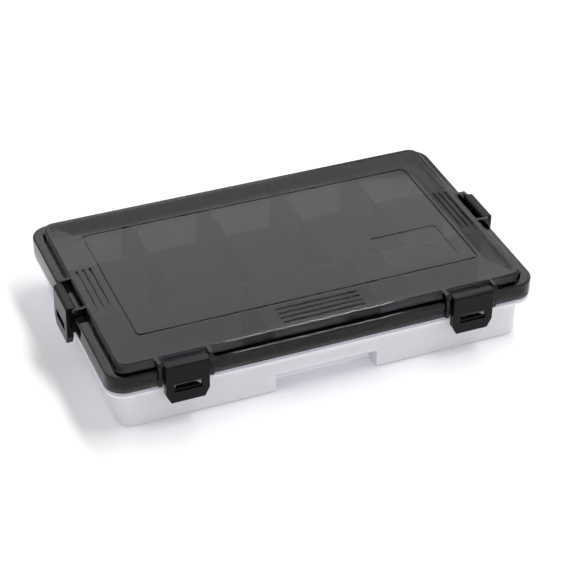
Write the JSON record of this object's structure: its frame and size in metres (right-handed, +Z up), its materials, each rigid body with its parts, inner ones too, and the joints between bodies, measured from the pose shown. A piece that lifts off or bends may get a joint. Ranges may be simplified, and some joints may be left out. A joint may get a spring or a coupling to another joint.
{
  "type": "tackle box",
  "caption": "Flat hinged storage box with a see-through smoked lid, rubber seal, snap latches on three sides and loose dividers in a pale tray.",
  "frame": {"origin": "middle of the tray's underside, on the plane that the box stands on", "axes": "+X along the box to the right, -Y towards the front, where two latches and the finger recess are, +Z up"},
  "size_m": [0.2866, 0.1791, 0.0478],
  "materials": {
    "tray_plastic": "milky, half see-through polypropylene",
    "smoked_plastic": "smoked, see-through, glossy",
    "divider_plastic": "milky, half see-through polypropylene",
    "latch_plastic": "glossy black",
    "seal_rubber": "matt black",
    "pin_steel": "blackened"
  },
  "bodies": {
    "base": {"base_tray": "tray_plastic", "hinge_pin_left": "pin_steel", "hinge_pin_right": "pin_steel", "divider_back_1": "divider_plastic", "divider_middle_1": "divider_plastic", "divider_back_2": "divider_plastic", "divider_middle_2": "divider_plastic", "divider_back_3": "divider_plastic", "divider_middle_3": "divider_plastic", "divider_back_4": "divider_plastic", "divider_middle_4": "divider_plastic", "divider_front_1": "divider_plastic", "divider_front_2": "divider_plastic"},
    "lid": {"lid": "smoked_plastic", "lid_seal": "seal_rubber", "latch_pin_front_left": "pin_steel", "latch_pin_front_right": "pin_steel", "latch_pin_left": "pin_steel", "latch_pin_right": "pin_steel"},
    "latch_front_left": {"latch_front_left": "latch_plastic"},
    "latch_front_right": {"latch_front_right": "latch_plastic"},
    "latch_left": {"latch_left": "latch_plastic"},
    "latch_right": {"latch_right": "latch_plastic"}
  },
  "joints": [
    {"name": "lid_hinge", "type": "hinge", "parent": "base", "child": "lid", "pos_m": [0, 0.088, 0.0315], "axis": [-1, 0, 0], "range_deg": [0, 110]},
    {"name": "latch_front_left_pivot", "type": "hinge", "parent": "lid", "child": "latch_front_left", "pos_m": [-0.0926, -0.0837, 0.0443], "axis": [-1, 0, 0], "range_deg": [0, 100]},
    {"name": "latch_front_right_pivot", "type": "hinge", "parent": "lid", "child": "latch_front_right", "pos_m": [0.0926, -0.0837, 0.0443], "axis": [-1, 0, 0], "range_deg": [0, 100]},
    {"name": "latch_left_pivot", "type": "hinge", "parent": "lid", "child": "latch_left", "pos_m": [-0.1384, 0, 0.0443], "axis": [0, 1, 0], "range_deg": [0, 100]},
    {"name": "latch_right_pivot", "type": "hinge", "parent": "lid", "child": "latch_right", "pos_m": [0.1384, 0, 0.0443], "axis": [0, -1, 0], "range_deg": [0, 100]}
  ]
}
